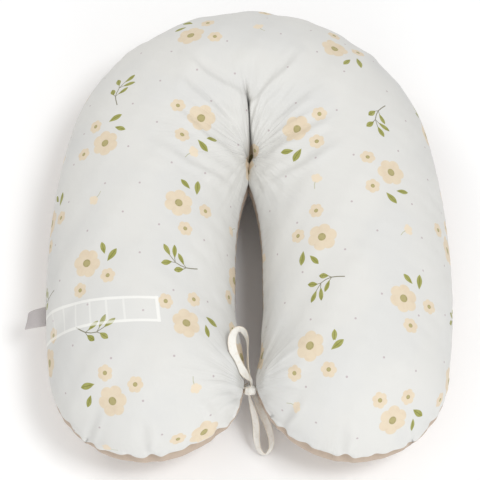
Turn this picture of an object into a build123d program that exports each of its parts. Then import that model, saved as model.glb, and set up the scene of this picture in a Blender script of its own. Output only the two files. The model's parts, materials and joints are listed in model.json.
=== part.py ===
from build123d import *
import math
import os

# Nursing pillow: a stuffed crescent folded into a horseshoe and tied across its open end.
# Millimetres, +Z up, legs towards -Y, the arch towards +Y, underside on z = 0.

# Plan of the pillow's centre line
arch_radius = 135.0  # round the closed end of the waist opening
arch_flare = 12.0  # degrees that each leg still opens outwards where it leaves the arch
leg_length = 328.0  # along each leg, from the arch to its rounded end
leg_toe_in = 10.5  # degrees that each leg points inwards at its rounded end

# Stuffed section across the centre line
section_half_width = 130.0
section_half_height = 105.0
seam_height = 92.0  # of the side seam; below it the section is flattened by the floor

# Cloth
cover_cloth = 1.0
insert_ease = 4.0  # slack between the cover and the insert
casing_cloth = 0.8

# Zip in the outer seam of the arch
zip_length = 430.0  # of the two rows of teeth, along the seam
zip_gap = 11.0  # bare tape and teeth between the two edges of the cover
tape_cloth = 0.6
tape_height = 14.0
tape_spare = 8.0  # of each tape beyond each end of the teeth
teeth_height = 1.8
teeth_depth = 2.2
teeth_gap = 1.8  # between the two rows, where the slider's post runs
stop_length = 2.5

# Slider and pull
slider_length = 11.0
slider_height = 9.2
slider_plate = 1.0
slider_clearance = 0.4
flange_thickness = 1.0
bail_width = 1.6
bail_wire = 1.2
bail_opening_length = 4.6
bail_opening_depth = 2.2
pull_thickness = 1.2
pull_length = 27.0
pull_head_width = 5.4
pull_tab_width = 7.0
pull_window_length = 5.2
pull_clearance = 0.5  # each side of the bail
travel_clearance = 0.3  # between the slider and a stop

# Folded label in the outer seam of the left leg
label_along_leg = 243.0  # from the arch
label_width = 30.0
label_reach = 32.0
label_ply = 0.35
label_fold_gap = 0.3
label_clearance = 0.9  # from the seam to the label's hinge line
label_droop = 18.0  # degrees

# Long care label lying between the cover and the insert
care_along_leg = 247.0
care_width = 36.0  # at the outer seam
care_ply = 0.5
care_foot = 2.0  # above the seam
care_reach = 40.0  # past the top of the leg, towards the waist opening

# Ribbon ties and their bow, with routes measured from the pillow's plane of symmetry,
# from the centres of its two round ends and from the floor
ribbon_diameter = 3.0  # of a round cord with the ribbon's own cross section
knot_size = (16.0, 14.0, 18.0)
knot_centre = (1.0, -31.6, 90.0)
knot_rounding = 4.0
left_tie_route = [
    (-9.0, -29.6, 94), (-2.5, -32.6, 95), (4, -29.6, 96), (3, -22.6, 104), (-5, -19.6, 117),
    (-13, -13.6, 133), (-21, -1.6, 148), (-24, 15.4, 156), (-18, 28.4, 156), (-9, 32.4, 150),
    (-3, 23.4, 141), (-3, 8.4, 130), (-2, -6.6, 117), (0, -19.6, 104), (1, -28.6, 92),
    (-2, -29.6, 83), (-4, -24.6, 73), (-4, -18.6, 63), (-3, -12.6, 52),
]
right_tie_route = [
    (9.4, -33.6, 89), (4, -30.6, 88), (-2, -33.6, 87), (1, -42.6, 81), (6, -53.6, 71),
    (9, -68.6, 54), (10, -82.6, 34), (13, -93.6, 15), (22, -97.6, 6), (30, -89.6, 14),
    (31, -79.6, 31), (25, -67.6, 49), (17, -54.6, 65), (10, -42.6, 77), (4, -32.6, 83),
    (3, -26.6, 75), (4, -20.6, 65), (4, -14.6, 54),
]

# Worked out from the sizes above
leg_radius = leg_length / math.radians(arch_flare + leg_toe_in)
arch_end = 90 - arch_flare
leg_end = 90 + leg_toe_in
seam_radius = arch_radius + section_half_width


def heading(angle):
    """Unit vector in plan, turned clockwise from +Y."""
    return Vector(math.sin(math.radians(angle)), math.cos(math.radians(angle)), 0)


label_thickness = 2 * label_ply + label_fold_gap
label_outer = label_clearance + label_reach * math.cos(math.radians(label_droop))
leg_centre_from_arch = heading(arch_end) * (arch_radius - leg_radius)
tip_from_arch = leg_centre_from_arch + heading(leg_end) * leg_radius
front_from_arch = tip_from_arch.Y - section_half_width

# The origin is under the middle of the whole object, label included
middle_x = label_outer / 2
arch_centre = Vector(middle_x, -(seam_radius + front_from_arch) / 2, seam_height)
leg_centre = arch_centre + leg_centre_from_arch
tip_centre = arch_centre + tip_from_arch


def station(centre, radius, angle):
    """Plane across the centre line: x outwards, y up, z along the pillow."""
    return Plane(
        origin=centre + heading(angle) * radius,
        x_dir=heading(angle),
        z_dir=heading(angle + 90),
    )


def swing(section, centre, radius, start, turn):
    """Turn a section clockwise about the upright axis through centre."""
    placed = station(centre, radius, start) * section
    return revolve(placed, Axis(centre, (0, 0, -1)), turn)


def box_area(low_x, high_x, low_y, high_y):
    """Rectangle between the given sides."""
    middle = ((low_x + high_x) / 2, (low_y + high_y) / 2)
    return Pos(*middle) * Rectangle(high_x - low_x, high_y - low_y)


def stuffed_area(inset, floor_inset):
    """Section of the stuffed tube, inset from its skin and from the floor."""
    oval = Ellipse(section_half_width - inset, section_half_height - inset)
    top = section_half_height
    side = section_half_width
    return oval & box_area(-side, side, floor_inset - seam_height, top)


def upper_half(area):
    return area & box_area(-section_half_width, section_half_width, 0, section_half_height)


def lower_half(area):
    return area & box_area(-section_half_width, section_half_width, -section_half_height, 0)


def mirrored(shape):
    return mirror(shape, Plane.YZ.offset(middle_x))


def along_pillow(area):
    """The whole horseshoe of a section: arch, both legs and their round ends."""
    outer_part = area & box_area(0, section_half_width, -seam_height, section_half_height)
    arch = swing(area, arch_centre, arch_radius, -arch_end, 2 * arch_end)
    leg = swing(area, leg_centre, leg_radius, arch_end, leg_end - arch_end)
    tip = swing(outer_part, tip_centre, 0, leg_end, 180)
    return arch + leg + tip + mirrored(leg) + mirrored(tip)


def ring_part(inner, outer, low, high, middle, length):
    """Curved bar in the arch's outer seam; radii, heights from the seam, length along it."""
    turn = math.degrees(length / seam_radius)
    bar = box_area(inner, outer, low, high)
    return swing(bar, arch_centre, 0, middle - turn / 2, turn)


def both_sides(low, high):
    """The same height band above and below the seam."""
    return [(low, high), (-high, -low)]


def cover_panels():
    skin = stuffed_area(0, 0) - stuffed_area(cover_cloth, cover_cloth)
    zip_slot = ring_part(
        seam_radius - 2 * cover_cloth, seam_radius + cover_cloth,
        -zip_gap / 2, zip_gap / 2, 0, zip_length + 2 * stop_length,
    )
    return {
        "cover_upper_panel": along_pillow(upper_half(skin)) - zip_slot,
        "cover_lower_panel": along_pillow(lower_half(skin)) - zip_slot,
    }


def insert_panels():
    outside = cover_cloth + insert_ease
    casing = stuffed_area(outside, cover_cloth) - stuffed_area(
        outside + casing_cloth, cover_cloth + casing_cloth
    )
    return {
        "insert_upper_panel": along_pillow(upper_half(casing)),
        "insert_lower_panel": along_pillow(lower_half(casing)),
    }


def filling():
    inside = cover_cloth + insert_ease + casing_cloth
    return along_pillow(stuffed_area(inside, cover_cloth + casing_cloth))


# Radii of the zip's layers from the arch's centre
tape_outer = seam_radius - cover_cloth
tape_inner = tape_outer - tape_cloth
teeth_middle = (tape_outer + tape_inner) / 2
teeth_outer = teeth_middle + teeth_depth / 2
teeth_inner = teeth_middle - teeth_depth / 2
teeth_low = teeth_gap / 2
teeth_high = teeth_low + teeth_height
plate_low = teeth_outer + slider_clearance
plate_high = plate_low + slider_plate
back_plate_high = teeth_inner - slider_clearance
back_plate_low = back_plate_high - slider_plate
slider_rest = math.degrees(
    (zip_length / 2 - slider_length / 2 - travel_clearance) / seam_radius
)


def zip_tapes():
    edge = cover_cloth + tape_cloth
    tape = stuffed_area(cover_cloth, cover_cloth) - stuffed_area(edge, edge)
    outer_side = box_area(0, section_half_width, teeth_high, teeth_high + tape_height)
    turn = math.degrees((zip_length + 2 * stop_length + 2 * tape_spare) / seam_radius)
    tapes = {}
    for name, band in (("upper", outer_side), ("lower", mirror(outer_side, Plane.XZ))):
        strip = tape & band
        tapes[f"zip_tape_{name}"] = swing(strip, arch_centre, arch_radius, -turn / 2, turn)
    return tapes


def zip_teeth():
    rows = {}
    for name, (low, high) in zip(("upper", "lower"), both_sides(teeth_low, teeth_high)):
        rows[f"zip_teeth_{name}"] = ring_part(teeth_inner, teeth_outer, low, high, 0, zip_length)
    return rows


def zip_stops():
    """One block joins both rows where the zip starts; one block on each row where it closes."""
    place = math.degrees((zip_length + stop_length) / 2 / seam_radius)
    bottom = ring_part(teeth_inner, teeth_outer, -teeth_high, teeth_high, -place, stop_length)
    top = Compound(
        children=[
            ring_part(teeth_inner, teeth_outer, low, high, place, stop_length).solid()
            for low, high in both_sides(teeth_low, teeth_high)
        ]
    )
    return {"zip_bottom_stop": bottom, "zip_top_stops": top}


def slider_frame():
    """Plane at the slider: x along the zip, y outwards from its face, z up."""
    return Plane(
        origin=arch_centre + heading(slider_rest) * plate_high,
        x_dir=heading(slider_rest + 90),
        z_dir=(0, 0, 1),
    )


def zip_slider():
    half = slider_height / 2
    flange = half - flange_thickness
    front_edge = tape_outer + slider_clearance
    back_edge = tape_inner - slider_clearance
    bars = [
        (plate_low, plate_high, -half, half, slider_length),
        (back_plate_low, back_plate_high, -half, half, slider_length),
        (back_plate_high, plate_low, slider_clearance - teeth_low,
         teeth_low - slider_clearance, slider_length / 3),
    ]
    for low, high in both_sides(flange, half):
        bars.append((front_edge, plate_low, low, high, slider_length))
        bars.append((back_plate_high, back_edge, low, high, slider_length))
    body = Part()
    for inner, outer, low, high, length in bars:
        body += ring_part(inner, outer, low, high, slider_rest, length)
    outer_length = bail_opening_length + 2 * bail_wire
    outer_height = bail_opening_depth + bail_wire
    # the bail's feet run into the face plate, which curves away from its straight base
    foot = slider_plate / 2
    opening = bail_opening_length / 2
    bail = box_area(-outer_length / 2, outer_length / 2, -foot, outer_height)
    bail = fillet(bail.vertices().group_by(Axis.Y)[-1], bail_wire)
    bail -= box_area(-opening, opening, -slider_plate, bail_opening_depth)
    return body + slider_frame() * extrude(bail, bail_width / 2, both=True)


def zip_pull():
    """Flat tab with a window at its head; the bar past the window is its hinge."""
    axis_height = bail_opening_depth / 2
    bar_edge = pull_thickness / 2
    head_end = bar_edge + pull_window_length
    window = bail_width + 2 * pull_clearance
    head = box_area(-head_end, bar_edge, -pull_head_width / 2, pull_head_width / 2)
    tab = box_area(bar_edge - pull_length, -head_end, -pull_tab_width / 2, pull_tab_width / 2)
    tab = fillet(tab.vertices().group_by(Axis.X)[0], pull_tab_width / 3)
    outline = head + tab - box_area(-head_end, -bar_edge, -window / 2, window / 2)
    frame = slider_frame()
    lie = Plane(
        origin=frame.origin + frame.y_dir * axis_height, x_dir=frame.x_dir, z_dir=frame.y_dir
    )
    return lie * extrude(outline, pull_thickness / 2, both=True)


def leg_station(along_leg, radius):
    angle = arch_end + math.degrees(along_leg / leg_radius)
    return station(leg_centre, radius, angle)


def side_label():
    """Ribbon folded on itself, drooping from its hinge line beside the seam."""
    length = label_reach - label_thickness / 2
    shape = box_area(0, length, -label_thickness / 2, label_thickness / 2)
    shape += Pos(length, 0) * Circle(label_thickness / 2)
    shape -= box_area(-label_ply, length, -label_fold_gap / 2, label_fold_gap / 2)
    shape -= Pos(length, 0) * Circle(label_fold_gap / 2)
    hinge = leg_station(label_along_leg, leg_radius + section_half_width + label_clearance)
    drooping = Rot(0, 0, -label_droop) * shape
    return mirrored(hinge * extrude(drooping, label_width / 2, both=True))


def care_label():
    edge = cover_cloth + care_ply
    strip = stuffed_area(cover_cloth, cover_cloth) - stuffed_area(edge, edge)
    strip &= box_area(-care_reach, section_half_width, care_foot, section_half_height)
    turn = math.degrees(care_width / (leg_radius + section_half_width))
    start = arch_end + math.degrees(care_along_leg / leg_radius) - turn / 2
    return mirrored(swing(strip, leg_centre, leg_radius, start, turn))


def route_points(route):
    return [Vector(x + middle_x, y + tip_centre.Y, z) for x, y, z in route]


def corner_radii(points):
    """Each arc as large as its two runs allow."""
    radii = []
    for before, corner, after in zip(points, points[1:], points[2:]):
        run_in = corner - before
        run_out = after - corner
        half_turn = math.radians(run_in.get_angle(run_out)) / 2
        radii.append(0.45 * min(run_in.length, run_out.length) / math.tan(half_turn))
    return radii


def tie(name, route):
    points = route_points(route)
    radii = corner_radii(points)
    path = FilletPolyline(*points, radius=radii)
    across = Plane(origin=path @ 0, z_dir=path % 0) * Circle(ribbon_diameter / 2)
    tube = sweep(across, path=path)
    expected = path.length * math.pi * ribbon_diameter**2 / 4
    print(name, "length", round(path.length, 1), "volume ratio", round(tube.volume / expected, 4))
    print(name, "radii", [round(radius, 1) for radius in radii])
    return tube


def bow_knot():
    block = Box(*knot_size)
    block = fillet(block.edges(), knot_rounding)
    return Pos(middle_x, tip_centre.Y, 0) * Pos(*knot_centre) * block


parts = {
    **cover_panels(),
    "side_label": side_label(),
    "care_label": care_label(),
    **zip_tapes(),
    **zip_teeth(),
    **zip_stops(),
    "zip_slider": zip_slider(),
    "zip_pull": zip_pull(),
    **insert_panels(),
    "filling": filling(),
    "tie_left": tie("tie_left", left_tie_route),
    "tie_right": tie("tie_right", right_tie_route),
    "bow_knot": bow_knot(),
}

os.makedirs("parts", exist_ok=True)
for name, shape in parts.items():
    export_step(shape, f"parts/{name}.step")

pull_axis = slider_frame().origin + slider_frame().y_dir * (bail_opening_depth / 2)
label_hinge = leg_station(
    label_along_leg, leg_radius + section_half_width + label_clearance
)
print("middle_x", round(middle_x, 3), "arch centre", arch_centre, "seam radius", seam_radius)
print("slider rest angle", round(slider_rest, 3), "travel", round(2 * slider_rest, 3))
print("pull axis", pull_axis, "label hinge", label_hinge.origin, label_hinge.z_dir)
print("leg centre", leg_centre, "leg radius", round(leg_radius, 2), "tip centre", tip_centre)
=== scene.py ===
import json
import math

import bmesh
import bpy
import numpy as np
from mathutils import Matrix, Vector
from mathutils.bvhtree import BVHTree


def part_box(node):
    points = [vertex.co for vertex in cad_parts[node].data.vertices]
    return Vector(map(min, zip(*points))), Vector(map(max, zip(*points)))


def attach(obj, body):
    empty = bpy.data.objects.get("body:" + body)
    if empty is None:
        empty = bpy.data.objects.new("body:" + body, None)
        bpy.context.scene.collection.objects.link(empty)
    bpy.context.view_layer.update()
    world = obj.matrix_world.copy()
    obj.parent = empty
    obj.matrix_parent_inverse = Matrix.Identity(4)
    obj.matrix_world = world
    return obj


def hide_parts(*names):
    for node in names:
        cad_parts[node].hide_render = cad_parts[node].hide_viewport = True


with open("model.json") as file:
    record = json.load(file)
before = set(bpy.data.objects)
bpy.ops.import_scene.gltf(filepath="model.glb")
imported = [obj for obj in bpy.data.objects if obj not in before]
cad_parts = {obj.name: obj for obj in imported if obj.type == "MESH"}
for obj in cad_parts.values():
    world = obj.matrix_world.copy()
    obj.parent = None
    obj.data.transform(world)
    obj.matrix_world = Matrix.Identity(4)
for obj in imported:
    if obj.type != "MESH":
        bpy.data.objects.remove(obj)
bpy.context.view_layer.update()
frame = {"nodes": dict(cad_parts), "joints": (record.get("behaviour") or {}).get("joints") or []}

bpy.context.scene.view_settings.view_transform = "Standard"
print("frame loaded")

# the pillow's own plan, read off the frame: arch centre, seam height and the middle of its width
joints = {joint["name"]: joint for joint in frame["joints"]}
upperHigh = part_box("cover_upper_panel")[1]
archCentre = joints["zip_travel"]["pos_m"]
middleX = archCentre[0]
seamZ = archCentre[2]

pillow = {
    "archRadius": 0.135,
    "archFlare": math.radians(12),
    "legLength": 0.328,
    "legToeIn": math.radians(10.5),
    "halfWidth": upperHigh[1] - archCentre[1] - 0.135,
    "halfHeight": upperHigh[2] - seamZ,
    "floorSoftness": 0.006,   # how gently the underside flattens
    "rowStep": 0.0055,        # mesh spacing along the pillow
    "columns": 66,            # mesh spacing across each panel
    "tipRows": 36,            # rows in each round end
    "clothThickness": 0.0008,
}
legRadius = pillow["legLength"] / (pillow["archFlare"] + pillow["legToeIn"])
archEnd = math.pi / 2 - pillow["archFlare"]
legEnd = math.pi / 2 + pillow["legToeIn"]


def headingAt(angle):
    # plan direction turned clockwise from +Y
    return np.stack([np.sin(angle), np.cos(angle)], axis=-1)


archPoint = np.array(archCentre[:2])
legPoint = archPoint + headingAt(archEnd) * (pillow["archRadius"] - legRadius)
tipPoint = legPoint + headingAt(legEnd) * legRadius


# ---- shader maths: a socket that can be added, multiplied and compared


class Signal:
    def __init__(self, tree, socket=None):
        self.tree = tree
        self.socket = socket

    def node(self, kind, settings=None, inputs=None, output=0):
        made = self.tree.nodes.new(kind)
        for key, value in (settings or {}).items():
            if key == "stops":
                for position, colour in value[len(made.color_ramp.elements):]:
                    made.color_ramp.elements.new(position)
                for element, (position, colour) in zip(made.color_ramp.elements, value):
                    element.position = position
                    element.color = colour
            else:
                setattr(made, key, value)
        for key, value in (inputs or {}).items():
            if isinstance(value, Signal):
                self.tree.links.new(value.socket, made.inputs[key])
            else:
                made.inputs[key].default_value = value
        return Signal(self.tree, made.outputs[output])

    def maths(self, operation, *values):
        return self.node("ShaderNodeMath", {"operation": operation}, dict(enumerate(values)))

    def __add__(self, other):
        return self.maths("ADD", self, other)

    __radd__ = __add__

    def __sub__(self, other):
        return self.maths("SUBTRACT", self, other)

    def __rsub__(self, other):
        return self.maths("SUBTRACT", other, self)

    def __mul__(self, other):
        return self.maths("MULTIPLY", self, other)

    __rmul__ = __mul__

    def __truediv__(self, other):
        return self.maths("DIVIDE", self, other)

    def __pow__(self, other):
        return self.maths("POWER", self, other)

    def __abs__(self):
        return self.maths("ABSOLUTE", self)

    def root(self):
        return self.maths("SQRT", self)

    def larger(self, other):
        return self.maths("MAXIMUM", self, other)

    def smaller(self, other):
        return self.maths("MINIMUM", self, other)

    def rise(self, low, high):
        # 0 below low, 1 above high, smooth between
        return self.node(
            "ShaderNodeMapRange", {"interpolation_type": "SMOOTHSTEP"},
            {"Value": self, "From Min": low, "From Max": high},
        )

    def mixTo(self, other, factor):
        # self and other are colours
        return self.node(
            "ShaderNodeMix", {"data_type": "RGBA"}, {0: factor, 6: self, 7: other}, output=2
        )

    def split(self):
        return [self.node("ShaderNodeSeparateXYZ", {}, {0: self}, output=i) for i in range(3)]


def colour(red, green, blue):
    # display values 0 to 255 as the scene's linear colour
    def linear(value):
        value = value / 255
        return value / 12.92 if value <= 0.04045 else ((value + 0.055) / 1.055) ** 2.4

    return (linear(red), linear(green), linear(blue), 1.0)


def plainColour(signal, red, green, blue):
    made = signal.node("ShaderNodeRGB")
    made.socket.default_value = colour(red, green, blue)
    return made


def startMaterial(name, roughness=0.9, **constants):
    material = bpy.data.materials.new(name)
    material.use_nodes = True
    tree = material.node_tree
    surface = tree.nodes["Principled BSDF"]
    surface.inputs["Roughness"].default_value = roughness
    for key, value in constants.items():
        surface.inputs[key.replace("_", " ")].default_value = value
    return material, Signal(tree), surface


def paint(signal, surface, baseColour):
    if isinstance(baseColour, Signal):
        signal.tree.links.new(baseColour.socket, surface.inputs["Base Color"])
    else:
        surface.inputs["Base Color"].default_value = baseColour


def bumpFrom(signal, surface, height, distance, strength=1.0):
    bump = signal.node(
        "ShaderNodeBump", {}, {"Height": height, "Distance": distance, "Strength": strength}
    )
    signal.tree.links.new(bump.socket, surface.inputs["Normal"])


def noise(signal, vector, scale, detail=2.0, roughness=0.5):
    return signal.node(
        "ShaderNodeTexNoise", {}, {"Vector": vector, "Scale": scale, "Detail": detail,
                                   "Roughness": roughness},
    )


# ---- the cloth's smooth stuffed shape


def pillowRows():
    # along the middle line: plan point, outward direction, forward direction, tip angle
    tips = np.linspace(math.pi / 2, 0, pillow["tipRows"] + 1)[:-1]
    legCount = round(pillow["legLength"] / pillow["rowStep"])
    seamRadius = pillow["archRadius"] + pillow["halfWidth"]
    archCount = round(2 * archEnd * seamRadius / pillow["rowStep"] / 1.1)
    legAngles = np.linspace(legEnd, archEnd, legCount + 1)[:-1]
    archAngles = np.linspace(-archEnd, archEnd, archCount + 1)
    rows = []
    for tip in tips:
        rows.append((tipPoint, legEnd, tip))
    for angle in legAngles:
        rows.append((legPoint + headingAt(angle) * legRadius, angle, 0.0))
    side = []
    for point, angle, tip in rows:
        offset = point - archPoint
        side.append((archPoint + offset * [-1, 1], -angle, tip))
    for angle in archAngles:
        side.append((archPoint + headingAt(angle) * pillow["archRadius"], angle, 0.0))
    side.extend(reversed(rows))
    return side


def stuffedPanels(rows, across):
    # grids of points [row, column, xyz] for the upper and the lower panel
    points = np.array([row[0] for row in rows])[:, None, :]
    angles = np.array([row[1] for row in rows])[:, None]
    tips = np.array([row[2] for row in rows])[:, None]
    sides = np.sign(angles)
    outward = headingAt(angles)
    forward = headingAt(angles + sides * math.pi / 2)
    lateral = np.sin(across)[None, :]
    ahead = np.sin(tips)
    x = ahead * np.sqrt(1 - lateral**2 / 2)
    y = lateral * np.sqrt(1 - ahead**2 / 2)
    z = np.cos(tips) * np.cos(across)[None, :]
    plan = points + pillow["halfWidth"] * (x[..., None] * forward + y[..., None] * outward)
    rise = pillow["halfHeight"] * z
    soft = pillow["floorSoftness"]
    sink = 0.5 * (rise + seamZ - np.sqrt((rise - seamZ) ** 2 + soft**2))
    sink = sink - 0.5 * (seamZ - math.sqrt(seamZ**2 + soft**2)) * (1 - rise / seamZ).clip(0)
    upper = np.concatenate([plan, (seamZ + rise)[..., None]], axis=-1)
    lower = np.concatenate([plan, (seamZ - sink)[..., None]], axis=-1)
    return upper, lower


def gridNormals(grid):
    along = np.gradient(grid, axis=0)
    across = np.gradient(grid, axis=1)
    normal = np.cross(across, along)
    length = np.linalg.norm(normal, axis=-1, keepdims=True)
    return normal / np.maximum(length, 1e-12)


rows = pillowRows()
across = np.linspace(-math.pi / 2, math.pi / 2, pillow["columns"] + 1)
upperBase, lowerBase = stuffedPanels(rows, across)
upperNormal = gridNormals(upperBase)
if upperNormal[len(rows) // 2, pillow["columns"] // 2, 2] < 0:
    upperNormal = -upperNormal
lowerNormal = gridNormals(lowerBase)
if lowerNormal[len(rows) // 2, pillow["columns"] // 2, 2] > 0:
    lowerNormal = -lowerNormal
print("stuffed shape", upperBase.shape)

# ---- meshes from grids


def smoothOnce(piece):
    smooth = piece.modifiers.new("smooth", "SUBSURF")
    smooth.levels = 1
    smooth.render_levels = 1
    return smooth


def gridFaces(rowCount, columnCount, flipped):
    row, column = np.meshgrid(np.arange(rowCount - 1), np.arange(columnCount - 1), indexing="ij")
    corner = (row * columnCount + column).ravel()
    faces = np.stack([corner, corner + columnCount, corner + columnCount + 1, corner + 1], axis=1)
    return faces[:, ::-1] if flipped else faces


def ringFaces(ringCount, pointCount):
    # the side of a tube, ring after ring
    faces = []
    for ring in range(ringCount - 1):
        for point in range(pointCount):
            after = (point + 1) % pointCount
            faces.append((ring * pointCount + point, ring * pointCount + after,
                          (ring + 1) * pointCount + after, (ring + 1) * pointCount + point))
    return faces


def meshPiece(name, vertices, faces, material):
    mesh = bpy.data.meshes.new(name)
    mesh.from_pydata([tuple(v) for v in vertices], [], [tuple(int(i) for i in f) for f in faces])
    if material:
        mesh.materials.append(material)
    mesh.polygons.foreach_set("use_smooth", [True] * len(mesh.polygons))
    mesh.update()
    piece = bpy.data.objects.new(name, mesh)
    bpy.context.scene.collection.objects.link(piece)
    return piece


# ---- folds: where the stuffed cloth creases, in plan from the pillow's middle line

# folds that leave the inner seam round the arch, one above the other
archFolds = {"first": 0.030, "last": 0.150, "count": 7, "level": 20, "steep": 46, "start": 0.010,
             "length": 0.108, "height": 0.0037, "width": 0.0062, "stray": 9, "seed": 21}
# folds that fan out on both sides of the bow
bowFolds = {"y": -0.252, "count": 4, "level": -18, "steep": 56, "start": 0.017,
            "length": 0.050, "height": 0.0036, "width": 0.0045}
# where the seam round each leg end is gathered, and the short fold behind every deep gather
endGathers = {"count": 6, "first": -46, "step": 19, "stray": 3, "deep": 0.0098, "shallow": 0.0042,
              "foldLength": 0.036, "height": 0.0032, "width": 0.0050, "seed": 4}


def foldLine(start, angle, side, length, height, width, lean):
    # a fold leaves its start at an angle above the level, outwards on its own side
    outward = np.array([side * math.cos(math.radians(angle)), math.sin(math.radians(angle))])
    return start, start + outward * length, height, width, lean


def seamGathers():
    # plan place, direction to the middle of the leg end, and depth
    chance = np.random.default_rng(endGathers["seed"])
    gathers = []
    for side in (-1, 1):
        centre = np.array([side * (tipPoint[0] - middleX), tipPoint[1]])
        for number in range(endGathers["count"]):
            angle = endGathers["first"] + number * endGathers["step"]
            angle = math.radians(angle + endGathers["stray"] * chance.uniform(-1, 1))
            outward = np.array([side * math.sin(angle), -math.cos(angle)])
            depth = endGathers["shallow"] if number % 2 else endGathers["deep"]
            gathers.append((centre + outward * pillow["halfWidth"], -outward, depth))
    return gathers


def foldLines():
    chance = np.random.default_rng(archFolds["seed"])
    lines = []
    for side in (-1, 1):
        for number in range(archFolds["count"]):
            share = number / (archFolds["count"] - 1)
            size = (0.58 if number % 2 else 1.0) * chance.uniform(0.75, 1.15)
            start = np.array([
                side * (archFolds["start"] + 0.020 * (1 - share)),
                archFolds["first"] + share * (archFolds["last"] - archFolds["first"]),
            ])
            angle = archFolds["level"] + share * (archFolds["steep"] - archFolds["level"])
            angle += archFolds["stray"] * chance.uniform(-1, 1)
            lines.append(foldLine(start, angle, side, archFolds["length"] * size,
                                  archFolds["height"] * size, archFolds["width"], side))
        for number in range(bowFolds["count"]):
            share = number / (bowFolds["count"] - 1)
            size = 0.8 if number % 2 else 1.0
            start = np.array([side * bowFolds["start"], bowFolds["y"] + 0.012 * (share - 0.3)])
            angle = bowFolds["level"] + share * (bowFolds["steep"] - bowFolds["level"])
            lines.append(foldLine(start, angle, side, bowFolds["length"] * size,
                                  bowFolds["height"] * size, bowFolds["width"], -side))
    for place, inward, depth in seamGathers():
        if depth == endGathers["deep"]:
            end = place + inward * endGathers["foldLength"]
            lines.append((place, end, endGathers["height"], endGathers["width"], 1))
    return lines


crease = {"depth": 0.026, "width": 0.0034, "draw": 0.0052, "leftRoll": 0.008, "rightRoll": 0.004}


# how far the legs' inner sides stand from the middle line beside the bow, against the plan
legSpread = {"aboveBow": 0.0045, "rightOfBow": 0.0085, "leftOfBow": 0.002, "leftBelowBow": -0.0085}


def smoothStep(value, low, high):
    part = np.clip((value - low) / (high - low), 0, 1)
    return part * part * (3 - 2 * part)


def foldField(plan):
    # height of the open folds over the plan, in metres
    total = np.zeros(plan.shape[:-1])
    for start, end, height, width, lean in foldLines():
        step = end - start
        length = np.linalg.norm(step)
        step = step / length
        offset = plan - start
        along = offset @ step / length
        bend = 0.08 * length * lean * np.sin(np.clip(along, 0, 1) * math.pi)
        side = (offset @ np.array([-step[1], step[0]]) + bend) / width
        taper = smoothStep(along, -0.15, 0.25) * (1 - smoothStep(along, 0.45, 1.15))
        ridge = np.exp(-(side**2)) - 0.55 * np.exp(-((side - 1.9 * lean) ** 2) / 1.6)
        total += height * taper * ridge
    return total


def radiate(x, y, centre, count, reach):
    # pull lines that spread from a point where the cloth is drawn together
    away = np.hypot(x - centre[0], y - centre[1])
    angle = np.arctan2(y - centre[1], x - centre[0])
    wave = np.sin(count * angle + 1.4 * np.sin(3 * angle + 40 * away))
    wave = wave * (0.6 + 0.4 * np.sin(5 * angle + 1.0))
    return wave * smoothStep(away, 0.012, 0.035) * (1 - smoothStep(away, reach * 0.3, reach))


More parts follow.
